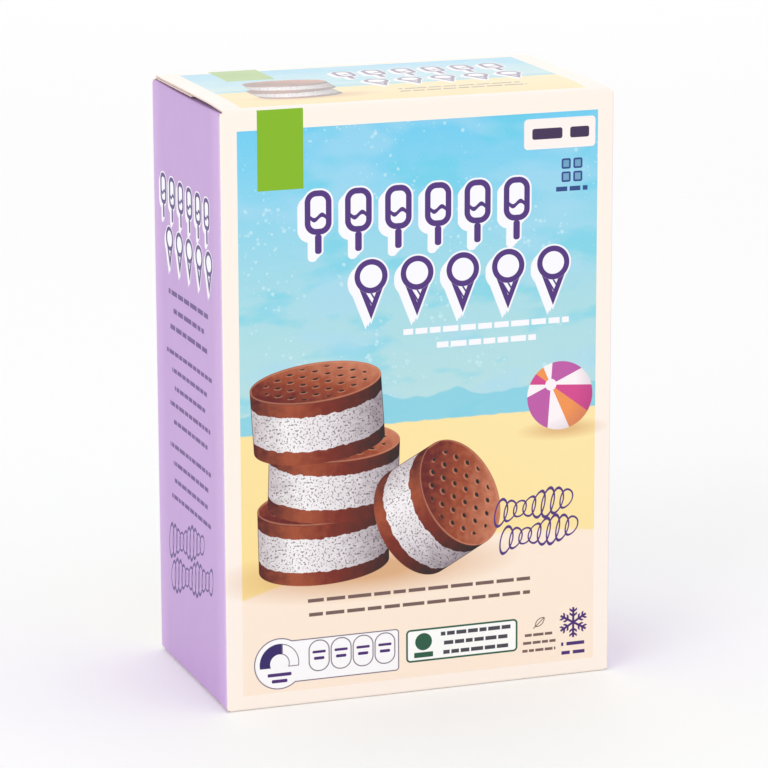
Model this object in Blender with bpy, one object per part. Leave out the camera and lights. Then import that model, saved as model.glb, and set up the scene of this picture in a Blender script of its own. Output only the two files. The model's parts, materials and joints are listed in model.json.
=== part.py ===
"""A shut folding carton for frozen bars: one board blank, folded, glued and standing upright.

The blank makes a tube of four panels. At the top two side flaps fold in first, then an inner flap
from the back panel, then an outer flap from the front panel. At the bottom the inner flap is the
first one in, so the side flaps lie straight on the outer flap. The carton is full and glued, so it
is one solid; the thin gaps between its flaps stay open at the two sides.
"""

import math

import bmesh
import bpy
from mathutils import Matrix

# Driving dimensions, in metres.
WIDTH = 0.105
DEPTH = 0.059
HEIGHT = 0.155
BOARD = 0.0004
FOLD_RADIUS = 0.0009
FOLD_STEPS = 5

# The closed ends. A stack is what lies outside the side flaps.
TOP_AIR = 0.00015
BOTTOM_AIR = 0.0001
TOP_STACK = 2 * (BOARD + TOP_AIR)
BOTTOM_STACK = BOARD + BOTTOM_AIR
FLAP_SIDE_GAP = 0.001
FREE_EDGE_GAP = 0.0007
INNER_FLAP_REACH = 0.55 * DEPTH
OPEN_SLIT_REACH = 0.012
TOP_RISE = 0.0005
RISE_LENGTH = 0.014
RISE_STEPS = 8
FLAP_ROOT_LEVEL = HEIGHT - TOP_STACK - 4 * BOARD

# The glued corner, where the back panel laps over the tab of the right panel.
SEAM_SETBACK = 0.0005
SEAM_STEP = 0.0003

COLOUR = (0.87, 0.80, 0.74, 1.0)
ROUGHNESS = 0.45

HALF_WIDTH = WIDTH / 2
HALF_DEPTH = DEPTH / 2


def clear_scene():
    for obj in list(bpy.data.objects):
        bpy.data.objects.remove(obj, do_unlink=True)


def new_collection(name):
    collection = bpy.data.collections.new(name)
    bpy.context.scene.collection.children.link(collection)
    return collection


def board_material():
    material = bpy.data.materials.new("printed_board")
    material.use_nodes = True
    shader = material.node_tree.nodes["Principled BSDF"]
    shader.inputs["Base Color"].default_value = COLOUR
    shader.inputs["Roughness"].default_value = ROUGHNESS
    shader.inputs["Metallic"].default_value = 0.0
    return material


def box_mesh(name, low, high):
    """A closed box between two corners."""
    bm = bmesh.new()
    bmesh.ops.create_cube(bm, size=1.0)
    size = [b - a for a, b in zip(low, high)]
    middle = [(a + b) / 2 for a, b in zip(low, high)]
    bmesh.ops.transform(bm, matrix=Matrix.Diagonal((*size, 1.0)), verts=bm.verts)
    bmesh.ops.translate(bm, vec=middle, verts=bm.verts)
    mesh = bpy.data.meshes.new(name)
    bm.to_mesh(mesh)
    bm.free()
    return mesh


def rounded_tube_mesh():
    """The tube of four panels, closed by its side flaps, with every scored fold rounded."""
    mesh = box_mesh(
        "carton",
        (-HALF_WIDTH, -HALF_DEPTH, BOTTOM_STACK),
        (HALF_WIDTH, HALF_DEPTH, HEIGHT - TOP_STACK),
    )
    bm = bmesh.new()
    bm.from_mesh(mesh)
    folds = []
    for edge in bm.edges:
        a, b = (vert.co for vert in edge.verts)
        upright = abs(a.z - b.z) > HEIGHT / 2
        glued_corner = a.x > 0 and a.y > 0
        side_flap_fold = abs(a.y - b.y) > DEPTH / 2
        bottom_back_fold = abs(a.x - b.x) > WIDTH / 2 and a.y > 0 and a.z < HEIGHT / 2
        if (upright and not glued_corner) or side_flap_fold or bottom_back_fold:
            folds.append(edge)
    bmesh.ops.bevel(
        bm,
        geom=folds,
        offset=FOLD_RADIUS,
        offset_type="OFFSET",
        affect="EDGES",
        segments=FOLD_STEPS,
        profile=0.5,
        material=-1,
    )
    bm.to_mesh(mesh)
    bm.free()
    return mesh


def arc(centre, radius, start, end, steps):
    """Points along an arc in the depth-height plane, with angles in degrees."""
    points = []
    for step in range(steps + 1):
        angle = math.radians(start + (end - start) * step / steps)
        points.append((centre[0] + radius * math.cos(angle), centre[1] + radius * math.sin(angle)))
    return points


def flap_top_line(rise):
    """Side view of the outer flap's upper face, from the end of its fold to its free edge.

    The flap leaves its fold lower than the rest by rise, because it springs up over the others.
    """
    start = -HALF_DEPTH + FOLD_RADIUS
    line = [(start, HEIGHT - rise)]
    if rise:
        for step in range(1, RISE_STEPS + 1):
            share = step / RISE_STEPS
            lift = rise * math.sin(share * math.pi / 2)
            line.append((start + share * RISE_LENGTH, HEIGHT - rise + lift))
    line.append((HALF_DEPTH - FREE_EDGE_GAP, HEIGHT))
    return line


def outer_flap_outline(rise):
    """Side view of the outer flap: up the front panel, round the fold, then back to its edge."""
    line = flap_top_line(rise)
    centre = (line[0][0], line[0][1] - FOLD_RADIUS)
    upper = arc(centre, FOLD_RADIUS, 180, 90, FOLD_STEPS) + line[1:]
    lower = [(y, z - BOARD) for y, z in reversed(line)]
    wall = [(-HALF_DEPTH + 2 * BOARD, FLAP_ROOT_LEVEL), (-HALF_DEPTH, FLAP_ROOT_LEVEL)]
    return upper + lower + wall


def inner_flap_outline():
    """Side view of the inner flap: up the back panel, round the fold, then forward to its edge."""
    level = HEIGHT - BOARD - TOP_AIR
    upper = arc((HALF_DEPTH - FOLD_RADIUS, level - FOLD_RADIUS), FOLD_RADIUS, 0, 90, FOLD_STEPS)
    front = HALF_DEPTH - INNER_FLAP_REACH
    upper.append((front, level))
    lower = [(front, level - BOARD), (HALF_DEPTH - FOLD_RADIUS, level - BOARD)]
    wall = [(HALF_DEPTH - 2 * BOARD, FLAP_ROOT_LEVEL), (HALF_DEPTH, FLAP_ROOT_LEVEL)]
    return upper + lower + wall


def filling_outline(rise):
    """Side view of what is hidden between the flaps, up to half the outer flap's thickness."""
    line = [(y, z - BOARD / 2) for y, z in flap_top_line(rise)[:-1]]
    back = HALF_DEPTH - 2 * FOLD_RADIUS
    line.append((back, HEIGHT - BOARD / 2))
    return line + [(back, FLAP_ROOT_LEVEL), (line[0][0], FLAP_ROOT_LEVEL)]


def extruded_mesh(name, outline, half_width):
    """The outline, drawn in the depth-height plane, made a solid of this half width."""
    curve = bpy.data.curves.new(name + "_outline", "CURVE")
    curve.dimensions = "2D"
    curve.fill_mode = "BOTH"
    curve.extrude = half_width
    spline = curve.splines.new("POLY")
    spline.points.add(len(outline) - 1)
    for point, (y, z) in zip(spline.points, outline):
        point.co = (y, z, 0.0, 1.0)
    spline.use_cyclic_u = True
    drawn = bpy.data.objects.new(name + "_outline", curve)
    bpy.context.scene.collection.objects.link(drawn)
    drawn.rotation_euler = (math.pi / 2, 0.0, math.pi / 2)
    bpy.context.view_layer.update()
    graph = bpy.context.evaluated_depsgraph_get()
    mesh = bpy.data.meshes.new_from_object(drawn.evaluated_get(graph))
    bm = bmesh.new()
    bm.from_mesh(mesh)
    bmesh.ops.remove_doubles(bm, verts=bm.verts, dist=1e-6)
    bmesh.ops.transform(bm, matrix=drawn.matrix_world, verts=bm.verts)
    bmesh.ops.recalc_face_normals(bm, faces=bm.faces)
    bm.to_mesh(mesh)
    bm.free()
    bpy.data.objects.remove(drawn, do_unlink=True)
    mesh.name = name
    return mesh


def turn_over(mesh):
    """Moves the shape to the carton's other end."""
    bm = bmesh.new()
    bm.from_mesh(mesh)
    middle = Matrix.Translation((0.0, 0.0, HEIGHT / 2))
    flip = middle @ Matrix.Scale(-1, 4, (0.0, 0.0, 1.0)) @ middle.inverted()
    bmesh.ops.transform(bm, matrix=flip, verts=bm.verts)
    bmesh.ops.reverse_faces(bm, faces=bm.faces)
    bm.to_mesh(mesh)
    bm.free()


def place_tool(name, mesh, collection):
    tool = bpy.data.objects.new(name, mesh)
    collection.objects.link(tool)
    tool.hide_render = True
    tool.display_type = "WIRE"
    return tool


def combine(target, tool, operation):
    modifier = target.modifiers.new(tool.name, "BOOLEAN")
    modifier.operation = operation
    modifier.solver = "EXACT"
    modifier.object = tool


def build_carton():
    parts = new_collection("carton_parts")
    tools = new_collection("carton_tools")
    carton = bpy.data.objects.new("carton", rounded_tube_mesh())
    parts.objects.link(carton)
    carton.data.materials.append(board_material())

    flap_half_width = HALF_WIDTH - FLAP_SIDE_GAP
    filling_half_width = HALF_WIDTH - OPEN_SLIT_REACH
    shapes = (
        ("top_filling", filling_outline(TOP_RISE), filling_half_width),
        ("top_inner_flap", inner_flap_outline(), flap_half_width),
        ("top_outer_flap", outer_flap_outline(TOP_RISE), flap_half_width),
        ("bottom_filling", filling_outline(0.0), filling_half_width),
        ("bottom_outer_flap", outer_flap_outline(0.0), flap_half_width),
    )
    for name, outline, half_width in shapes:
        mesh = extruded_mesh(name, outline, half_width)
        if name.startswith("bottom"):
            turn_over(mesh)
        combine(carton, place_tool(name, mesh, tools), "UNION")

    seam = box_mesh(
        "seam_cutter",
        (HALF_WIDTH - SEAM_SETBACK, HALF_DEPTH - SEAM_STEP, -BOARD),
        (HALF_WIDTH + BOARD, HALF_DEPTH + BOARD, HEIGHT + BOARD),
    )
    combine(carton, place_tool("seam_cutter", seam, tools), "DIFFERENCE")


clear_scene()
build_carton()
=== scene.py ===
"""The looks of a shut folding carton for ice cream sandwiches: printed board, folded and glued."""

import json
import math

import bmesh
import bpy
from mathutils import Matrix, Quaternion, Vector

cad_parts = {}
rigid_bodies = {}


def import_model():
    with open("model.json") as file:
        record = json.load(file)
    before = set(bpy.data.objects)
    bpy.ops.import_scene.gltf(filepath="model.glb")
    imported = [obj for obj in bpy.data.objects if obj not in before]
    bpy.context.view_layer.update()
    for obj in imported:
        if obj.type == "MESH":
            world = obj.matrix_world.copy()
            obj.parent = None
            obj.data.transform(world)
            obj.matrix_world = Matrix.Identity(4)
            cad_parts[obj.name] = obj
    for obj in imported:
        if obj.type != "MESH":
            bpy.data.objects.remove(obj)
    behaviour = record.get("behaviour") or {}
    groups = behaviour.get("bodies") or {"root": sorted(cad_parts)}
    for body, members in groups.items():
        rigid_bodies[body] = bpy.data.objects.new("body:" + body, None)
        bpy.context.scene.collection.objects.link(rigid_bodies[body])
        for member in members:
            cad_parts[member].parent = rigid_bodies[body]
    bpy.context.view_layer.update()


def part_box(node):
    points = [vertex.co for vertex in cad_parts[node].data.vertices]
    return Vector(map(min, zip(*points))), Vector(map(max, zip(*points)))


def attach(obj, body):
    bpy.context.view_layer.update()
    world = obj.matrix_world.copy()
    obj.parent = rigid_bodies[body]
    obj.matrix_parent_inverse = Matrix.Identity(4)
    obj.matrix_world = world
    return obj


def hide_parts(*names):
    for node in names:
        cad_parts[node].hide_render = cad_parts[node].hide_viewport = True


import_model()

for startup in [obj for obj in bpy.data.objects if obj.name in ("Cube", "Light", "Camera")]:
    bpy.data.objects.remove(startup, do_unlink=True)


# ---------------------------------------------------------------- printed and varnished board
# All panels are one sheet of boxboard, white-lined outside and greyish inside. The outside is printed
# in offset and sealed with a satin varnish. Each finish is drawn in millimetres, ink over ink.

RIGHT = Vector((1, 0, 0))
BACK = Vector((0, 1, 0))
UP = Vector((0, 0, 1))
MM = 1000
GLOSS_VEIL = 0.03


def tint(red, green, blue):
    """An ink from the colour (0 to 255) that it shows under varnish, whose gloss pales it a little."""
    shares = [channel / 255 for channel in (red, green, blue)]
    light = [s / 12.92 if s <= 0.04045 else ((s + 0.055) / 1.055) ** 2.4 for s in shares]
    return (*[max(s - GLOSS_VEIL, 0.002) for s in light], 1.0)


class Wire:
    """A number on its way through a finish's nodes, so that sums on it are written as sums."""

    def __init__(self, art, socket):
        self.art = art
        self.socket = socket

    def __add__(self, other):
        return self.art.sum("ADD", self, other)

    __radd__ = __add__

    def __sub__(self, other):
        return self.art.sum("SUBTRACT", self, other)

    def __rsub__(self, other):
        return self.art.sum("SUBTRACT", other, self)

    def __mul__(self, other):
        return self.art.sum("MULTIPLY", self, other)

    __rmul__ = __mul__

    def __truediv__(self, other):
        return self.art.sum("DIVIDE", self, other)

    def __neg__(self):
        return self.art.sum("MULTIPLY", self, -1.0)


class Art:
    """The inks of one finish, laid one over another on a panel whose x runs across and y up."""

    EDGE = 0.08
    CORNER = 0.15

    def __init__(self, name, across, up, base):
        self.material = bpy.data.materials.new(name)
        self.material.use_nodes = True
        self.tree = self.material.node_tree
        self.shader = self.tree.nodes["Principled BSDF"]
        self.where = self.node("ShaderNodeTexCoord", {}, {}, "Object")
        self.x = self.vector("DOT_PRODUCT", self.where, across * MM, output=1)
        self.y = self.vector("DOT_PRODUCT", self.where, up * MM, output=1)
        self.place = self.join(self.x, self.y)
        self.colour = base

    def node(self, kind, settings, sockets, output=0):
        """Adds a node: its settings first, then the values and wires of its sockets."""
        made = self.tree.nodes.new(kind)
        for setting, value in settings.items():
            if setting == "stops":
                self.set_stops(made.color_ramp, value)
            elif setting == "steps":
                made.color_ramp.interpolation = "CONSTANT"
                self.set_stops(made.color_ramp, value)
            else:
                setattr(made, setting, value)
        for socket, value in sockets.items():
            if isinstance(value, Wire):
                self.tree.links.new(value.socket, made.inputs[socket])
            else:
                made.inputs[socket].default_value = value
        return Wire(self, made.outputs[output])

    @staticmethod
    def set_stops(ramp, stops):
        while len(ramp.elements) < len(stops):
            ramp.elements.new(1.0)
        for element, (position, colour) in zip(ramp.elements, stops):
            element.position = position
            element.color = colour

    def sum(self, operation, *values, clamp=False):
        settings = {"operation": operation, "use_clamp": clamp}
        return self.node("ShaderNodeMath", settings, dict(enumerate(values)))

    def vector(self, operation, *values, output=0):
        return self.node("ShaderNodeVectorMath", {"operation": operation}, dict(enumerate(values)), output)

    def join(self, x, y):
        return self.node("ShaderNodeCombineXYZ", {}, {0: x, 1: y})

    def split(self, place):
        """The across and the up part of a place."""
        across = self.node("ShaderNodeSeparateXYZ", {}, {0: place})
        return across, Wire(self, across.socket.node.outputs[1])

    def mix(self, share, first, second):
        return self.node("ShaderNodeMix", {"data_type": "RGBA"}, {0: share, 6: first, 7: second}, 2)

    def ramp(self, share, *stops):
        return self.node("ShaderNodeValToRGB", {"stops": stops}, {0: share})

    def noise(self, place, size, detail=2.0, dimensions="2D"):
        """Cloudy noise from 0 to 1, whose features are about this size."""
        sockets = {"Vector": place, "Scale": 1 / size, "Detail": detail}
        return self.node("ShaderNodeTexNoise", {"noise_dimensions": dimensions}, sockets)

    def moved(self, centre, degrees=0.0, scale=(1.0, 1.0), place=None):
        """The place as seen from a centre, turned and scaled, for drawing a motif there."""
        sockets = {
            "Vector": place or self.place,
            "Location": (*centre, 0.0),
            "Rotation": (0.0, 0.0, math.radians(degrees)),
            "Scale": (*scale, 1.0),
        }
        return self.node("ShaderNodeMapping", {"vector_type": "TEXTURE"}, sockets)

    def most(self, first, *others):
        """The largest of several values, which is where several shapes overlap."""
        for other in others:
            first = self.sum("MAXIMUM", first, other)
        return first

    def least(self, first, *others):
        """The smallest of several values, which joins several shapes."""
        for other in others:
            first = self.sum("MINIMUM", first, other)
        return first

    def cell(self, along, pitch, count):
        """The middle of the repeat in which a value lies, of a centred row of so many repeats."""
        half_row = (count - 1) / 2
        number = self.sum("ROUND", along / pitch + half_row)
        return (self.least(self.most(number, 0.0), count - 1.0) - half_row) * pitch

    def box(self, centre, half, radius=CORNER, place=None):
        """How far a place lies outside a round-cornered box, in millimetres."""
        off = self.vector("ABSOLUTE", self.vector("SUBTRACT", place or self.place, (*centre, 0.0)))
        beyond = self.vector("SUBTRACT", off, (half[0] - radius, half[1] - radius, 0.0))
        return self.vector("LENGTH", self.vector("MAXIMUM", beyond, (0.0, 0.0, 0.0)), output=1) - radius

    def disc(self, centre, radius, place=None):
        """How far a place lies outside a disc."""
        return self.vector("DISTANCE", place or self.place, (*centre, 0.0), output=1) - radius

    def line(self, distance, width):
        """Turns a shape into the line of this width that runs just inside its outline."""
        return self.sum("ABSOLUTE", distance + width / 2) - width / 2

    def inside(self, distance, edge=EDGE):
        """1 inside a shape and 0 outside, with an edge this many millimetres soft."""
        return self.sum("MULTIPLY_ADD", distance, -1 / edge, 0.5, clamp=True)

    def lay(self, colour, mask):
        """Lays an ink over what is printed so far, where the mask is 1."""
        self.colour = self.mix(mask, self.colour, colour)

    def fill(self, colour, distance, edge=EDGE):
        """Lays an ink inside a shape."""
        self.lay(colour, self.inside(distance, edge))

    def wear_and_highlight(self, centre, half, strength=0.35):
        """Pales the inks where the board bends round the folds that bound a panel: rubbed ink and a painted
        highlight.
        """
        beyond = self.box(centre, half)
        fold_mottle = self.noise(self.place, 0.9, detail=3.0)
        pale = self.mix(0.6, self.colour, tint(255, 252, 250))
        self.lay(pale, self.inside(0.45 - beyond, 0.9) * (0.4 + fold_mottle * 1.2) * strength)

    def varnish(self):
        """Puts the inks on the board under a satin varnish, through which its fibres show faintly."""
        fibres = self.noise(self.where, 0.0004, 3.0, "3D")
        waves = self.noise(self.where, 0.022, 1.0, "3D")
        patches = self.noise(self.where, 0.006, 2.0, "3D")
        height = fibres * 0.000003 + waves * 0.00010
        normal = self.node("ShaderNodeBump", {}, {"Height": height, "Strength": 1.0, "Distance": 1.0})
        self.wire_up(self.colour, 0.34 + patches * 0.12, normal)
        self.shader.inputs["Specular IOR Level"].default_value = 0.4
        return self.material

    def leave_bare(self, grain, fleck):
        """Leaves the board unprinted, with its fibres and a few darker flecks."""
        fibres = self.noise(self.where, grain, 4.0, "3D")
        flecks = self.noise(self.where, grain * 5, 2.0, "3D")
        colour = self.mix(self.inside(0.62 - flecks, 0.2) * 0.5, self.colour, fleck)
        colour = self.mix(self.inside(fibres - 0.4, 0.5) * 0.25, colour, fleck)
        normal = self.node("ShaderNodeBump", {}, {"Height": fibres * 0.00003, "Strength": 1.0, "Distance": 1.0})
        self.wire_up(colour, 0.86 + fibres * 0.1, normal)
        return self.material

    def wire_up(self, colour, roughness, normal):
        for socket, wire in (("Base Color", colour), ("Roughness", roughness), ("Normal", normal)):
            if isinstance(wire, Wire):
                self.tree.links.new(wire.socket, self.shader.inputs[socket])
            else:
                self.shader.inputs[socket].default_value = wire


board_back = Art("board_back", RIGHT, UP, tint(206, 199, 188)).leave_bare(0.0004, tint(160, 150, 138))
cut_edge = Art("cut_edge", RIGHT, UP, tint(236, 214, 204)).leave_bare(0.0002, tint(196, 160, 148))


# ---------------------------------------------------------------- printed picture: sky and sand
# The ground of the main picture: a brushed sky with paint splashes over a far shore, then dry sand
# that ends in a pale dune. A cream border runs round it.

BORDER_CREAM = tint(254, 242, 232)


def lay_beach(art, left, right, bottom, shore, top, dune=0.535):
    """Paints the sky, the sand below the shore and a dune of this share of it, in a cream border."""
    reach = top - shore
    art.colour = art.ramp(
        (art.y - shore) / reach,
        (0.0, tint(188, 224, 226)),
        (0.4, tint(172, 220, 229)),
        (0.75, tint(144, 213, 237)),
        (1.0, tint(118, 206, 240)),
    )
    strokes = art.noise(art.moved((0, 0), 4, (2.6, 1.0)), 9.0, detail=3.0)
    art.lay(tint(104, 208, 230), art.inside(0.60 - strokes, 0.12) * 0.5)
    haze = art.noise(art.moved((40, 9), -3, (2.2, 1.0)), 12.0)
    art.lay(tint(172, 218, 240), art.inside(0.57 - haze, 0.16) * 0.5)
    showers = art.noise(art.place, 16.0, detail=1.0)
    sockets = {"Vector": art.place, "Scale": 0.55, "Randomness": 1.0}
    to_drop = art.node("ShaderNodeTexVoronoi", {"voronoi_dimensions": "2D"}, sockets)
    drop = (art.noise(art.place, 2.5, detail=0.0) - 0.46) * 0.9 * art.inside(0.54 - showers, 0.1)
    art.lay(tint(206, 238, 246), art.inside(to_drop - drop, 0.2) * 0.6)
    hills = art.noise(art.moved((11, 0), 0, (1.0, 60.0)), 17.0)
    far_shore = art.y - shore - reach * 0.02 - hills * reach * 0.14
    art.lay(tint(132, 208, 227), art.inside(far_shore, 0.5) * 0.8)
    sand = art.ramp(
        art.x * 0.004 + (art.y - bottom) * 0.008 + 0.2,
        (0.2, tint(251, 224, 154)),
        (0.9, tint(253, 231, 172)),
    )
    ragged = art.noise(art.place, 3.0) - 0.5
    art.fill(sand, art.y - shore + ragged * 0.7, 0.25)
    crest = bottom + (shore - bottom) * dune
    fall = (art.x - 22.0) * (art.x - 22.0) * 0.0023
    art.fill(tint(253, 234, 216), art.y - crest + fall + ragged * 0.6, 0.9)
    picture = art.box(((left + right) / 2, (bottom + top) / 2), ((right - left) / 2, (top - bottom) / 2))
    art.lay(BORDER_CREAM, art.inside(-picture))


# ---------------------------------------------------------------- printed picture: sandwiches
# A stack of round ice cream sandwiches and one that leans on it: two dark biscuits, pricked so that
# they bake flat, with speckled ice cream between them.


def lay_sandwich(art, foot, tilt, reach, depth, crumb):
    """Draws one sandwich standing on its foot, seen from a little above and then tilted."""
    biscuit, filling_height = 0.2 * reach, 0.5 * reach
    height = 2 * biscuit + filling_height
    place = art.moved(foot, tilt)
    x, y = art.split(place)
    share = x / reach
    fall = art.sum("SQRT", art.most(1 - share * share, 0.0)) * depth
    side = y + fall
    past_ends = art.sum("ABSOLUTE", x) - reach
    body = art.most(-side, y - fall - height, past_ends)
    lit = share * 0.5 + 0.5 + (crumb - 0.5) * 0.25
    brown = art.ramp(
        lit,
        (0.0, tint(92, 42, 30)),
        (0.28, tint(166, 88, 64)),
        (0.55, tint(126, 58, 42)),
        (1.0, tint(58, 24, 18)),
    )
    art.fill(brown, body, 0.12)
    uneven = (crumb - 0.5) * 1.3
    filling = art.most(
        biscuit - side + uneven,
        side - biscuit - filling_height + uneven,
        past_ends + 0.15,
    )
    white = art.ramp(
        lit,
        (0.0, tint(198, 188, 192)),
        (0.28, tint(248, 244, 246)),
        (0.6, tint(228, 221, 225)),
        (1.0, tint(152, 140, 148)),
    )
    art.fill(white, filling, 0.15)
    specks = art.noise(place, 0.55, detail=1.0)
    art.lay(tint(84, 66, 66), art.inside(art.most(filling + 0.3, (0.63 - specks) * 4), 0.3) * 0.75)
    face = art.most(y - fall - height, height - side, past_ends)
    top = art.ramp(
        share * 0.35 + 0.5 + (y - height) * (0.3 / depth) + (crumb - 0.5) * 0.5,
        (0.1, tint(108, 48, 34)),
        (0.5, tint(158, 82, 60)),
        (0.95, tint(202, 130, 102)),
    )
    art.fill(top, face, 0.12)
    art.lay(tint(208, 142, 114), art.inside(art.line(face + 0.15, 0.35), 0.3) * 0.6)
    flat = art.join(x, (y - height) * (reach / depth))
    pitch = reach * 0.27
    step = art.vector("FRACTION", art.moved((0, 0), 45, (pitch, pitch), flat))
    pricked = art.disc((0, 0), reach * 0.8, flat)
    lip = art.most(art.disc((0.42, 0.42), 0.22, step) * pitch, pricked)
    art.lay(tint(206, 140, 112), art.inside(lip, 0.4) * 0.6)
    art.fill(tint(56, 22, 16), art.most(art.disc((0.5, 0.5), 0.17, step) * pitch, pricked), 0.3)


def lay_shadow(art, centre, half, strength):
    """Draws a soft shadow on the sand."""
    spot = art.disc((0, 0), 0.75, art.moved(centre, 0, half))
    art.lay(tint(212, 156, 102), art.inside(spot, 0.9) * strength)


# ---------------------------------------------------------------- printed picture: ball
# A beach ball of coloured panels that lies on the sand at the right.


def lay_ball(art, centre, radius):
    """Draws the ball: its panels meet at a white cap, and its lower right is in shade."""
    place = art.moved(centre, 24, (radius, radius))
    ball = art.disc((0, 0), 1.0, place) * radius
    x, y = art.split(place)
    turn = art.sum("ARCTAN2", y - 0.42, x + 0.12) / math.pi + 1.0
    panels = (
        (0.0, tint(193, 100, 170)),
        (0.34, tint(252, 243, 246)),
        (0.5, tint(242, 152, 92)),
        (0.66, tint(214, 84, 146)),
        (0.84, tint(252, 243, 246)),
    )
    panel = art.node("ShaderNodeValToRGB", {"steps": panels}, {0: art.sum("FRACT", turn)})
    art.fill(panel, ball, 0.12)
    art.fill(tint(252, 243, 246), art.disc((-0.12, 0.42), 0.17, place) * radius, 0.12)
    shade = art.inside(0.45 - art.disc((-0.35, 0.45), 1.0, place), 0.9)
    art.lay(tint(120, 48, 110), art.inside(ball, 0.12) * shade * 0.45)


# ---------------------------------------------------------------- printed title rows
# Two rows of bold purple motifs stand where a pack has its title: ice lollies, then scoops in cones.
# They are knocked out in white, with a white block shadow that falls to the lower left.

TITLE_PURPLE = tint(91, 66, 130)
TITLE_WHITE = tint(249, 248, 253)


def lolly(art, place):
    """An ice lolly on its stick: its silhouette, and the strokes that draw it."""
    bar = art.box((0, 2.4), (3.4, 5.4), 2.9, place)
    stick = art.box((0, -5.3), (0.85, 2.4), 0.7, place)
    x, y = art.split(place)
    dip = art.sum("ABSOLUTE", y - 1.2 - art.sum("SINE", x * 1.6) * 0.6) - 0.55
    return art.least(bar, stick), art.least(art.line(bar, 1.45), art.most(dip, bar), stick)


def cone(art, place):
    """A scoop in a cone: its silhouette, and the strokes that draw it."""
    scoop = art.disc((0, 3.1), 4.4, place)
    x, y = art.split(place)
    side = (art.sum("ABSOLUTE", x) * 9.4 - (y + 8.0) * 3.7) / 10.1
    wafer = art.most(side, y - 1.2)
    lattice = art.sum("ABSOLUTE", art.sum("PINGPONG", x + y * 0.6, 1.5) - 0.75) - 0.25
    wafer_lines = art.least(art.line(wafer, 1.3), art.most(lattice, wafer))
    return art.least(scoop, wafer), art.least(art.line(scoop, 1.45), art.most(wafer_lines, -scoop))


def lay_title_row(art, motif, centre, scale, count, pitch):
    """Lays a centred row of one motif, with its white block shadow under it."""
    x, y = art.split(art.moved(centre, 0, (scale, scale)))
    place = art.join(x - art.cell(x, pitch, count), y)
    for drop in (1.5, 0.8):
        silhouette = motif(art, art.vector("ADD", place, (drop, drop, 0.0)))[0]
        art.fill(TITLE_WHITE, silhouette - 0.35)
    silhouette, strokes = motif(art, place)
    art.fill(TITLE_WHITE, silhouette - 0.45)
    art.fill(TITLE_PURPLE, strokes)


# ---------------------------------------------------------------- printed small print and marks
# The small print is lines of bars that say nothing. With it go a curly pen line, a white panel of
# ovals with a gauge, a green-edged panel, a leaf and a snowflake.

SMALL_PRINT = tint(124, 100, 96)
MARK_PURPLE = tint(84, 58, 120)


def lay_words(art, colour, middle, top, lines, pitch, height, half_width, ragged=0.0, word=4.6):
    """Lays centred lines of word-long bars, from the middle of the top line downwards."""
    line = art.least(art.most(art.sum("ROUND", (top - art.y) / pitch), 0.0), lines - 1.0)
    past_line = art.sum("ABSOLUTE", art.y - top + line * pitch) - height / 2
    chance = {"noise_dimensions": "1D"}
    short = art.node("ShaderNodeTexWhiteNoise", chance, {"W": line + middle + top}) * ragged
    past_end = art.sum("ABSOLUTE", art.x - middle) - half_width + short
    gaps = {"voronoi_dimensions": "1D", "feature": "DISTANCE_TO_EDGE"}
    sockets = {"W": art.x / word + line * 7.3 + top, "Scale": 1.0, "Randomness": 0.95}
    past_word = 0.07 * word - art.node("ShaderNodeTexVoronoi", gaps, sockets) * word
    art.fill(colour, art.most(past_line, past_end, past_word), 0.12)


def lay_curls(art, centre, tilt, loop, count):
    """Lays a pen line of slanting loops, each this wide; every other loop overlaps the last."""
    x, y = art.split(art.moved(centre, tilt, (loop, loop)))
    x = x - y * 0.3
    y = y / (1.0 + art.sum("SINE", x * 1.1) * 0.3)
    pen = []
    for start in (-0.5, 0.5):
        local = art.join(x - start - art.cell(x - start, 2.0, count), y * 0.6)
        ring = art.vector("LENGTH", local, output=1) - 0.66
        pen.append(art.sum("ABSOLUTE", ring) - 0.075)
    art.fill(TITLE_PURPLE, art.least(*pen) * loop)


def lay_snowflake(art, centre, reach):
    """Lays a six-armed snowflake, each arm with two pairs of side branches."""
    place = art.moved(centre, 30, (reach, reach))
    x, y = art.split(place)
    sixth = art.sum("ARCTAN2", y, x) / (math.pi / 3)
    angle = art.sum("ABSOLUTE", sixth - art.sum("ROUND", sixth)) * (math.pi / 3)
    radius = art.vector("LENGTH", place, output=1)
    along, off = radius * art.sum("COSINE", angle), radius * art.sum("SINE", angle)
    arm = art.most(off - 0.075, along - 1.0)
    slope = math.radians(55)
    branches = [
        art.most(
            art.sum("ABSOLUTE", (along - root) * math.sin(slope) - off * math.cos(slope)) - 0.065,
            off - spread,
        )
        for root, spread in ((0.42, 0.26), (0.7, 0.26))
    ]
    art.fill(MARK_PURPLE, art.least(arm, *branches) * reach)


def lay_leaf(art, centre, length):
    """Lays the outline of a leaf with its midrib."""
    place = art.moved(centre, 42, (length, length))
    blade = art.most(art.disc((0, 0.36), 0.62, place), art.disc((0, -0.36), 0.62, place))
    rib = art.box((-0.12, 0), (0.55, 0.035), 0.03, place)
    art.fill(SMALL_PRINT, art.least(art.line(blade, 0.07), rib) * length)


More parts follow.
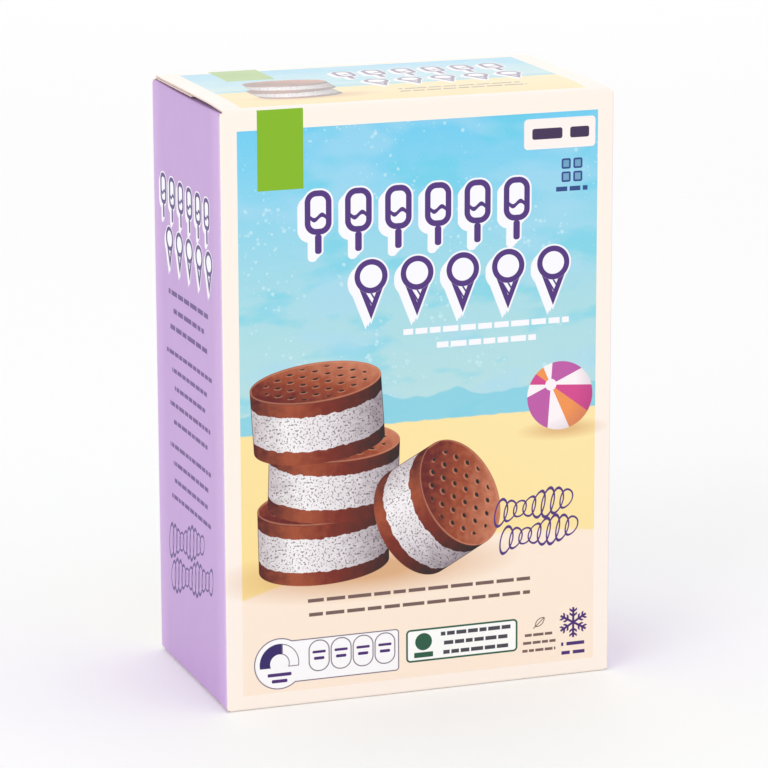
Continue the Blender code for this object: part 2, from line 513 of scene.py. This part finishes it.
def lay_ovals(art):
    """Lays the white panel with a gauge at its round end and four ovals beside it."""
    panel = art.least(art.disc((-38.3, 11.6), 6.8), art.box((-23.8, 11.9), (17.9, 5.6), 1.0))
    art.fill(tint(252, 250, 252), panel)
    art.fill(tint(128, 116, 132), art.line(panel, 0.3))
    ring = art.sum("ABSOLUTE", art.disc((-38.3, 11.6), 3.9)) - 1.4
    upper = art.most(ring, 10.6 - art.y)
    art.fill(tint(66, 54, 108), art.most(upper, art.x + 37.6))
    art.fill(tint(128, 116, 132), art.line(art.most(upper, -37.6 - art.x), 0.25))
    art.fill(MARK_PURPLE, art.least(
        art.box((-38.3, 8.7), (3.2, 0.45), 0.3),
        art.box((-38.3, 7.0), (2.1, 0.45), 0.3),
    ))
    local = art.join(art.x + 18.7 - art.cell(art.x + 18.7, 5.95, 4), art.y)
    art.fill(tint(128, 116, 132), art.line(art.box((0, 12.7), (2.85, 4.2), 2.7, local), 0.3))
    art.fill(MARK_PURPLE, art.least(
        art.box((0, 13.7), (1.8, 0.35), 0.3, local),
        art.box((0, 12.0), (1.4, 0.4), 0.3, local),
    ))


def lay_green_panel(art):
    """Lays the white panel in a green line, with a plain disc and three lines beside it."""
    panel = art.box((11.4, 12.4), (15.4, 4.4), 1.2)
    art.fill(tint(253, 253, 251), panel)
    art.fill(tint(58, 98, 78), art.least(
        art.line(panel, 0.5),
        art.disc((0.8, 13.3), 2.3),
        art.box((0.8, 9.8), (2.6, 0.7), 0.2),
    ))
    lay_words(art, tint(82, 80, 88), 15.2, 14.9, 3, 2.5, 1.05, 10.2, 2.0, word=3.2)


# ---------------------------------------------------------------- front panel
# The face of the carton, with the main picture. It is one panel of the folded blank, scored at its
# four sides; each score rolls half-way round to the panel or flap beyond it.

low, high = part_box("carton")
WIDTH = high.x - low.x
DEPTH = high.y - low.y
HEIGHT = high.z - low.z
BOARD = 0.0004
FOLD = 0.0009
FOLD_STEPS = 4
PANEL_COLUMNS = 16
PANEL_ROWS = 24
FRONT_TOP = HEIGHT - 0.0005
FRONT_HOLLOW = 0.00035


def main_art():
    """The picture side of the carton, which the back repeats when seen from behind."""
    art = Art("picture_print", RIGHT, UP, BORDER_CREAM)
    towards_back = art.vector("DOT_PRODUCT", art.where, BACK, output=1)
    art.x = art.x * -art.sum("SIGN", towards_back)
    art.place = art.join(art.x, art.y)
    lay_beach(art, -48, 48, 4, 72, 149.3)
    lay_shadow(art, (-15, 34), (36, 7), 0.8)
    crumb = art.noise(art.place, 2.2, detail=3.0)
    lay_sandwich(art, (-26.0, 36.5), 1.0, 17.5, 5.2, crumb)
    lay_sandwich(art, (-23.5, 52.5), -2.0, 17.5, 5.2, crumb)
    lay_sandwich(art, (-27.0, 68.5), 3.5, 17.5, 5.2, crumb)
    lay_sandwich(art, (-1.5, 45.5), -62, 15.5, 9.5, crumb)
    lay_shadow(art, (39, 66.5), (11, 2.5), 0.6)
    lay_ball(art, (38.2, 75.5), 9.0)
    lay_title_row(art, lolly, (-0.5, 125.2), 1.04, 6, 10.2)
    lay_title_row(art, cone, (11.5, 107.4), 1.0, 5, 12.3)
    lay_words(art, TITLE_WHITE, 18, 95.4, 1, 4, 1.5, 22.5)
    lay_words(art, TITLE_WHITE, 18, 91.4, 1, 4, 1.5, 13.5)
    art.fill(tint(137, 186, 52), art.box((-36.8, 145.0), (6.0, 11.0)))
    art.fill(tint(255, 243, 239), art.box((37.6, 143.9), (9.7, 3.9), 1.0))
    art.fill(tint(76, 62, 92), art.least(
        art.box((34.2, 143.9), (4.1, 1.4), 0.6),
        art.box((43.0, 143.9), (2.6, 1.4), 0.6),
    ))
    corner = art.join(art.sum("ABSOLUTE", art.x - 41), art.sum("ABSOLUTE", art.y - 134.2))
    art.fill(tint(62, 84, 140), art.line(art.box((1.6, 1.7), (1.25, 1.35), 0.5, corner), 0.5))
    lay_words(art, tint(62, 84, 140), 41, 129.4, 1, 4, 1.2, 4.3)
    lay_curls(art, (31.2, 46.8), 7, 2.6, 4)
    lay_curls(art, (32.7, 39.4), 7, 2.6, 4)
    lay_words(art, SMALL_PRINT, 0, 27.4, 2, 3.7, 0.95, 35.0, 7.0, word=5.6)
    lay_ovals(art)
    lay_green_panel(art)
    lay_leaf(art, (33.0, 15.2), 3.6)
    lay_words(art, SMALL_PRINT, 32.8, 11.9, 3, 2.1, 0.75, 4.9, 1.4, word=2.6)
    lay_snowflake(art, (42.4, 14.2), 4.1)
    lay_words(art, MARK_PURPLE, 42.4, 8.5, 2, 2.4, 0.95, 3.9, 0.9, word=6.0)
    # Rubbed ink and a painted highlight along the front's folds.
    art.wear_and_highlight((0, HEIGHT * MM / 2), ((WIDTH / 2 - FOLD) * MM, (HEIGHT / 2 - FOLD) * MM), 0.3)
    return art.varnish()


def flat_board(left, right, bottom, top, columns, rows, shape):
    """A stretch of board in its own plane, x across and y up, with shape(x, y) giving its height."""
    sheet = bmesh.new()
    bmesh.ops.create_grid(sheet, x_segments=columns, y_segments=rows, size=0.5)
    bmesh.ops.scale(sheet, vec=(right - left, top - bottom, 1.0), verts=sheet.verts)
    middle = ((left + right) / 2, (bottom + top) / 2, 0.0)
    bmesh.ops.translate(sheet, vec=middle, verts=sheet.verts)
    for vert in sheet.verts:
        vert.co.z = shape(vert.co.x, vert.co.y)
    return sheet


def open_edges(sheet, lies_there):
    """The sheet's open edges whose two ends both satisfy lies_there."""
    return [
        edge
        for edge in sheet.edges
        if edge.is_boundary and all(lies_there(vert.co) for vert in edge.verts)
    ]


def roll_over_fold(sheet, edges, pivot, axis, degrees):
    """Carries open edges round a scored fold."""
    bmesh.ops.spin(
        sheet,
        geom=edges,
        cent=pivot,
        axis=axis,
        dvec=(0.0, 0.0, 0.0),
        angle=math.radians(degrees),
        steps=FOLD_STEPS * round(degrees / 45),
        use_merge=False,
        use_duplicate=False,
    )


def panel_sheet(left, right, bottom, top, hollow, left_turn=45, right_turn=45):
    """A wall of the tube, flat between its limits, with its share of the folds rolled round it.

    A turn of 45 degrees is half a fold, and none leaves a cut edge.
    """
    middle, half = (left + right) / 2, (right - left) / 2
    centre, reach = (bottom + top) / 2, (top - bottom) / 2 - FOLD

    def hollowed(x, y):
        return -hollow * (1 - ((x - middle) / half) ** 2) * (1 - ((y - centre) / reach) ** 2)

    sheet = flat_board(left, right, centre - reach, centre + reach, PANEL_COLUMNS, PANEL_ROWS, hollowed)
    near = FOLD / 10
    for level, axis in ((centre + reach, (-1, 0, 0)), (centre - reach, (1, 0, 0))):
        edges = open_edges(sheet, lambda co: abs(co.y - level) < near)
        roll_over_fold(sheet, edges, (0, level, -FOLD), axis, 45)
    for place, axis, turn in ((right, (0, 1, 0), right_turn), (left, (0, -1, 0), left_turn)):
        if turn:
            edges = open_edges(sheet, lambda co: abs(co.x - place) < near and abs(co.z) < near)
            roll_over_fold(sheet, edges, (place, 0, -FOLD), axis, turn)
    return sheet


def put_in_place(sheet, across, up, origin):
    """Turns a sheet from its own plane to the carton, so that its x runs across and its y up."""
    turn = Matrix((across, up, across.cross(up))).transposed().to_4x4()
    bmesh.ops.transform(sheet, matrix=Matrix.Translation(origin) @ turn, verts=sheet.verts)


def make_board(name, sheet, across, up, printed):
    """Gives a sheet its thickness, its three finishes and a map for them, and fixes it."""
    mesh = bpy.data.meshes.new(name)
    sheet.to_mesh(mesh)
    sheet.free()
    for finish in (printed, board_back, cut_edge):
        mesh.materials.append(finish)
    board = bpy.data.objects.new(name, mesh)
    bpy.context.scene.collection.objects.link(board)
    thickness = board.modifiers.new("thickness", "SOLIDIFY")
    thickness.thickness = BOARD
    thickness.offset = -1
    thickness.use_even_offset = True
    thickness.material_offset = 1
    thickness.material_offset_rim = 2
    graph = bpy.context.evaluated_depsgraph_get()
    board.data = bpy.data.meshes.new_from_object(board.evaluated_get(graph))
    board.data.name = name
    board.modifiers.clear()
    board.data.shade_smooth()
    board.data.set_sharp_from_angle(angle=math.radians(35))
    lay_print_map(board.data, across, up)
    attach(board, "root")
    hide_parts("carton")


def lay_print_map(mesh, across, up):
    """Unwraps a board: the print takes the left nine tenths, then the inside, then the cut edge."""
    spots = [(vert.co.dot(across), vert.co.dot(up)) for vert in mesh.vertices]
    left, bottom = (min(spot[axis] for spot in spots) for axis in (0, 1))
    right, top = (max(spot[axis] for spot in spots) for axis in (0, 1))
    layer = mesh.uv_layers.new(name="OFBake")
    cut_faces = [face.index for face in mesh.polygons if face.material_index == 2]
    cut_row = {index: row for row, index in enumerate(cut_faces)}
    for face in mesh.polygons:
        for corner, loop in enumerate(face.loop_indices):
            spot = spots[mesh.loops[loop].vertex_index]
            across_share = (spot[0] - left) / (right - left)
            up_share = 0.005 + 0.99 * (spot[1] - bottom) / (top - bottom)
            if face.material_index == 0:
                place = (0.005 + 0.89 * across_share, up_share)
            elif face.material_index == 1:
                place = (0.905 + 0.035 * across_share, up_share)
            else:
                column = 0.955 + 0.035 * (corner in (1, 2))
                place = (column, (cut_row[face.index] + 0.1 + 0.8 * (corner in (2, 3))) / len(cut_row))
            layer.data[loop].uv = place


front_edge = WIDTH / 2 - FOLD
sheet = panel_sheet(-front_edge, front_edge, 0.0, FRONT_TOP, FRONT_HOLLOW)
put_in_place(sheet, RIGHT, UP, (0.0, low.y, low.z))
picture_board = main_art()
make_board("front_panel", sheet, RIGHT, UP, picture_board)


# ---------------------------------------------------------------- left panel
# The narrow panel at the left, lilac from edge to edge. Its top fold lies lower than the front's,
# because the side flap that hangs on it is the first to be folded in.

TOP_AIR = 0.00015
BOTTOM_AIR = 0.0001
SIDE_TOP = HEIGHT - 2 * (BOARD + TOP_AIR)
SIDE_BOTTOM = BOARD + BOTTOM_AIR
SIDE_HOLLOW = 0.0003
SAG = 0.0004
SAG_LENGTH = 0.02
LILAC = tint(196, 161, 214)
SIDE_PRINT = tint(104, 74, 136)


def begin_side(name, across, up):
    """A side's lilac ground, with title rows and a line of small print under them."""
    art = Art(name, across, up, LILAC)
    lay_title_row(art, lolly, (-1.5, 125.0), 0.76, 6, 10.0)
    lay_title_row(art, cone, (1.5, 112.2), 0.72, 5, 12.0)
    lay_words(art, SIDE_PRINT, 0, 100.5, 3, 4.6, 1.3, 20.0, 7.0, word=5.5)
    return art


def finish_side(art):
    """Lays a painted highlight on a side towards its upright folds, then rubbed ink and a painted highlight at
    the folds.
    """
    from_middle = art.sum("ABSOLUTE", art.x)
    # Painted highlight: the lilac is paled within a few millimetres of each upright fold, standing in for light
    # caught there.
    art.lay(tint(232, 198, 246), art.inside(DEPTH * MM / 2 - 4.0 - from_middle, 9.0) * 0.4)
    half = ((DEPTH / 2 - FOLD) * MM, (HEIGHT / 2 - FOLD) * MM)
    art.wear_and_highlight((0, HEIGHT * MM / 2), half, 0.8)
    return art.varnish()


def sag(sheet, middle):
    """Lets the head of a side and the flap on it sag between the corners, which opens a thin slit."""
    for vert in sheet.verts:
        across = vert.co.y / (DEPTH / 2)
        inwards = abs(vert.co.x - middle) / SAG_LENGTH
        down = (SIDE_TOP - vert.co.z) / SAG_LENGTH
        share = max(1 - max(inwards, down), 0.0)
        vert.co.z -= SAG * max(1 - across**2, 0.0) * share


side_edge = DEPTH / 2 - FOLD
art = begin_side("left_print", -BACK, UP)
lay_words(art, SIDE_PRINT, 0, 84.5, 5, 4.6, 1.15, 20.0, 7.0, word=3.8)
lay_words(art, SIDE_PRINT, 0, 59.5, 4, 4.6, 1.15, 19.0, 7.0, word=3.8)
lay_curls(art, (-4.5, 36.0), 12, 3.1, 5)
lay_curls(art, (0.0, 27.5), 12, 3.1, 6)
sheet = panel_sheet(-side_edge, side_edge, SIDE_BOTTOM, SIDE_TOP, SIDE_HOLLOW)
put_in_place(sheet, -BACK, UP, (low.x, 0.0, low.z))
sag(sheet, low.x)
make_board("left_panel", sheet, -BACK, UP, finish_side(art))


# ---------------------------------------------------------------- right panel and glue tab
# The other narrow panel, with a ruled table. Its rear fold goes right round to a tab, and the back
# panel is glued on that tab, so the fold lies one thickness of board in from the back.

LAP = BOARD + 0.00008
TAB_WIDTH = 0.013
TAB_SLOPE = 0.006

art = begin_side("right_print", BACK, UP)
table = art.box((0, 62.0), (23.0, 22.0), 1.0)
art.fill(tint(250, 247, 252), table)
art.fill(SIDE_PRINT, art.line(table, 0.4))
row = art.y - 62.0
between_rows = 2.08 - art.sum("ABSOLUTE", row - art.cell(row, 4.4, 9))
rules = art.least(between_rows, art.box((6.0, 62.0), (0.15, 22.0)))
art.fill(SIDE_PRINT, art.most(rules, table))
lay_words(art, SIDE_PRINT, -9.5, 79.6, 9, 4.4, 1.0, 11.0, 5.0, word=4.0)
lay_words(art, SIDE_PRINT, 14.5, 79.6, 9, 4.4, 1.0, 5.5, 3.0, word=8.0)
lay_words(art, SIDE_PRINT, 0, 33.0, 5, 3.6, 0.95, 21.0, 6.0, word=3.6)
tab_fold = DEPTH / 2 - LAP - FOLD
sheet = panel_sheet(-side_edge, tab_fold, SIDE_BOTTOM, SIDE_TOP, SIDE_HOLLOW, right_turn=90)
tab_root = open_edges(sheet, lambda co: abs(co.x - tab_fold - FOLD) < FOLD / 10 and co.z < -FOLD * 0.9)
tab = bmesh.ops.extrude_edge_only(sheet, edges=tab_root)["geom"]
for vert in [item for item in tab if isinstance(item, bmesh.types.BMVert)]:
    vert.co.z -= TAB_WIDTH
    vert.co.y += (SIDE_TOP / 2 - vert.co.y) * 2 * TAB_SLOPE / SIDE_TOP
put_in_place(sheet, BACK, UP, (high.x, 0.0, low.z))
sag(sheet, high.x)
make_board("right_panel", sheet, BACK, UP, finish_side(art))


# ---------------------------------------------------------------- back panel
# The last panel of the blank, with the picture again. It is glued over the tab, so its cut edge
# shows along the right rear corner.

BACK_TOP = HEIGHT - BOARD - TOP_AIR
BACK_BOTTOM = SIDE_BOTTOM + BOARD + BOTTOM_AIR
SEAM_SETBACK = 0.0005
BACK_HOLLOW = 0.0003

seam = WIDTH / 2 - SEAM_SETBACK
sheet = panel_sheet(-seam, front_edge, BACK_BOTTOM, BACK_TOP, BACK_HOLLOW, left_turn=0)
put_in_place(sheet, -RIGHT, UP, (0.0, high.y, low.z))
make_board("back_panel", sheet, -RIGHT, UP, picture_board)


# ---------------------------------------------------------------- top flaps
# Four flaps close the top, folded in this order: the two side flaps, the inner flap from the back
# panel and the outer flap from the front panel, which is glued down and springs up at its fold.

FLAP_SIDE_GAP = 0.001
SIDE_FLAP_LENGTH = 0.045
SIDE_FLAP_TAPER = 0.004
INNER_FLAP_REACH = 0.55 * DEPTH
FREE_EDGE_GAP = 0.0007
TOP_RISE = 0.0005
RISE_LENGTH = 0.014
FLAP_COLUMNS = 12
FLAP_ROWS = 20


def flap_sheet(half_width, length, shape, taper=0.0):
    """A flap lying beyond its half of the fold, with shape(x, y) giving its height."""
    sheet = flat_board(-half_width, half_width, 0.0, length, FLAP_COLUMNS, FLAP_ROWS, shape)
    root = open_edges(sheet, lambda co: co.y < FOLD / 10)
    roll_over_fold(sheet, root, (0, 0, shape(0, 0) - FOLD), (1, 0, 0), 45)
    for vert in sheet.verts:
        if vert.co.y > 0:
            vert.co.x *= 1 - taper * vert.co.y / length / half_width
    return sheet


def spring_up(x, y):
    share = min(y / RISE_LENGTH, 1)
    return TOP_RISE * (math.sin(share * math.pi / 2) - 1)


def lie_flat(x, y):
    return 0.0


def plain_art(name, colour):
    """A part of the blank that carries only the ground colour."""
    art = Art(name, RIGHT, UP, colour)
    mottle = art.noise(art.where, 0.01, 2.0, "3D")
    art.lay(tint(255, 252, 250), mottle * 0.06)
    return art.varnish()


art = Art("top_print", RIGHT, BACK, BORDER_CREAM)
lay_beach(art, -46, 46, -26.5, -6, 26, dune=0.0)
crumb = art.noise(art.place, 2.2, detail=3.0)
lay_shadow(art, (-24, -17), (17, 4), 0.8)
lay_sandwich(art, (-26.5, -15.0), 2, 11.0, 4.2, crumb)
lay_sandwich(art, (-25.0, -4.8), -3, 11.0, 4.2, crumb)
art.fill(tint(137, 186, 52), art.box((-31.0, 21.0), (6.5, 9.0)))
lay_title_row(art, lolly, (15.0, 11.5), 0.8, 6, 10.2)
lay_title_row(art, cone, (17.0, -2.2), 0.74, 5, 12.3)
lay_words(art, SMALL_PRINT, 16, -14.5, 2, 3.4, 1.1, 22.0, 6.0)
# Painted sheen: the whole top is paled by three tenths, standing in for the glare of its varnish seen at a low
# angle.
art.lay(tint(255, 250, 245), 0.3)
# Rubbed ink and a painted highlight along the top's folds.
art.wear_and_highlight((0, 0), ((WIDTH / 2 - FLAP_SIDE_GAP) * MM, (DEPTH / 2 - FOLD) * MM), 0.4)
top_finish = art.varnish()
lilac_board = plain_art("lilac_print", LILAC)
cream_board = plain_art("cream_print", BORDER_CREAM)

outer_flap_length = DEPTH - FOLD - FREE_EDGE_GAP
sheet = flap_sheet(WIDTH / 2 - FLAP_SIDE_GAP, outer_flap_length, spring_up)
put_in_place(sheet, RIGHT, BACK, (0.0, low.y + FOLD, high.z))
make_board("top_outer_flap", sheet, RIGHT, BACK, top_finish)

sheet = flap_sheet(WIDTH / 2 - FLAP_SIDE_GAP, INNER_FLAP_REACH - FOLD, lie_flat)
put_in_place(sheet, -RIGHT, -BACK, (0.0, high.y - FOLD, BACK_TOP))
make_board("top_inner_flap", sheet, -RIGHT, -BACK, cream_board)

for name, across, up, root in (
    ("top_left_flap", -BACK, RIGHT, low.x + FOLD),
    ("top_right_flap", BACK, -RIGHT, high.x - FOLD),
):
    sheet = flap_sheet(DEPTH / 2 - FLAP_SIDE_GAP, SIDE_FLAP_LENGTH, lie_flat, SIDE_FLAP_TAPER)
    put_in_place(sheet, across, up, (root, 0.0, SIDE_TOP))
    sag(sheet, math.copysign(WIDTH / 2, root))
    make_board(name, sheet, across, up, lilac_board)


# ---------------------------------------------------------------- bottom flaps
# The bottom closes the same way, except that the inner flap goes in first; so the side flaps lie
# straight on the outer flap, on which the carton stands.

art = Art("bottom_print", -RIGHT, BACK, BORDER_CREAM)
lay_words(art, SMALL_PRINT, 0, 4.0, 3, 3.6, 1.1, 30.0, 10.0)
bottom_finish = art.varnish()

sheet = flap_sheet(WIDTH / 2 - FLAP_SIDE_GAP, outer_flap_length, lie_flat)
put_in_place(sheet, -RIGHT, BACK, (0.0, low.y + FOLD, low.z))
make_board("bottom_outer_flap", sheet, -RIGHT, BACK, bottom_finish)

sheet = flap_sheet(WIDTH / 2 - FLAP_SIDE_GAP, INNER_FLAP_REACH - FOLD, lie_flat)
put_in_place(sheet, RIGHT, -BACK, (0.0, high.y - FOLD, BACK_BOTTOM))
make_board("bottom_inner_flap", sheet, RIGHT, -BACK, cream_board)

for name, across, up, root in (
    ("bottom_left_flap", BACK, RIGHT, low.x + FOLD),
    ("bottom_right_flap", -BACK, -RIGHT, high.x - FOLD),
):
    sheet = flap_sheet(DEPTH / 2 - FLAP_SIDE_GAP, SIDE_FLAP_LENGTH, lie_flat, SIDE_FLAP_TAPER)
    put_in_place(sheet, across, up, (root, 0.0, SIDE_BOTTOM))
    make_board(name, sheet, across, up, lilac_board)


# ---------------------------------------------------------------- floor, light and camera
# A pale seamless floor under soft, even light. A long lens keeps the carton's edges nearly parallel.

WORLD_STRENGTH = 0.93
FLOOR_REACH = 4

floor_mesh = bpy.data.meshes.new("floor")
ground = bmesh.new()
bmesh.ops.create_grid(ground, x_segments=1, y_segments=1, size=FLOOR_REACH)
ground.to_mesh(floor_mesh)
ground.free()
floor = bpy.data.objects.new("floor", floor_mesh)
bpy.context.scene.collection.objects.link(floor)
floor_paint = bpy.data.materials.new("floor_paint")
floor_paint.use_nodes = True
floor_shader = floor_paint.node_tree.nodes["Principled BSDF"]
floor_shader.inputs["Base Color"].default_value = (0.98, 0.98, 0.98, 1.0)
floor_shader.inputs["Roughness"].default_value = 0.8
floor_mesh.materials.append(floor_paint)

world = bpy.data.worlds.new("studio")
bpy.context.scene.world = world
world.use_nodes = True
world.node_tree.nodes["Background"].inputs["Color"].default_value = (1.0, 1.0, 1.0, 1.0)
world.node_tree.nodes["Background"].inputs["Strength"].default_value = WORLD_STRENGTH


def soft_box(name, place, aim, size, power):
    """A large square light, turned towards its aim."""
    lamp = bpy.data.lights.new(name, "AREA")
    lamp.shape = "SQUARE"
    lamp.size = size
    lamp.energy = power
    light = bpy.data.objects.new(name, lamp)
    bpy.context.scene.collection.objects.link(light)
    light.location = place
    light.rotation_mode = "QUATERNION"
    light.rotation_quaternion = (Vector(aim) - Vector(place)).to_track_quat("-Z", "Y")


middle = (0.0, 0.0, HEIGHT / 2)
soft_box("key", (-1.2, -0.9, 1.1), middle, 0.9, 4.5)
soft_box("fill", (0.9, -1.2, 0.6), middle, 0.9, 1.0)
soft_box("rim", (0.75, 2.1, 0.62), middle, 1.1, 2.0)

LENS = 180.1
AZIMUTH, ELEVATION = math.radians(-19.53), math.radians(13.43)
ROLL = math.radians(-0.18)
DISTANCE = 6.471 * HEIGHT
AIM = Vector((0.004, 0.0, 0.484)) * HEIGHT

camera = bpy.data.objects.new("camera", bpy.data.cameras.new("camera"))
bpy.context.scene.collection.objects.link(camera)
camera.data.lens = LENS
camera.data.sensor_width = 36
camera.data.clip_start = 0.01
camera.data.clip_end = 20
backwards = Vector((
    math.sin(AZIMUTH) * math.cos(ELEVATION),
    -math.cos(AZIMUTH) * math.cos(ELEVATION),
    math.sin(ELEVATION),
))
camera.location = AIM + backwards * DISTANCE
camera.rotation_mode = "QUATERNION"
camera.rotation_quaternion = (-backwards).to_track_quat("-Z", "Y") @ Quaternion((0, 0, 1), ROLL)
bpy.context.scene.camera = camera
bpy.context.scene.view_settings.view_transform = "Standard"
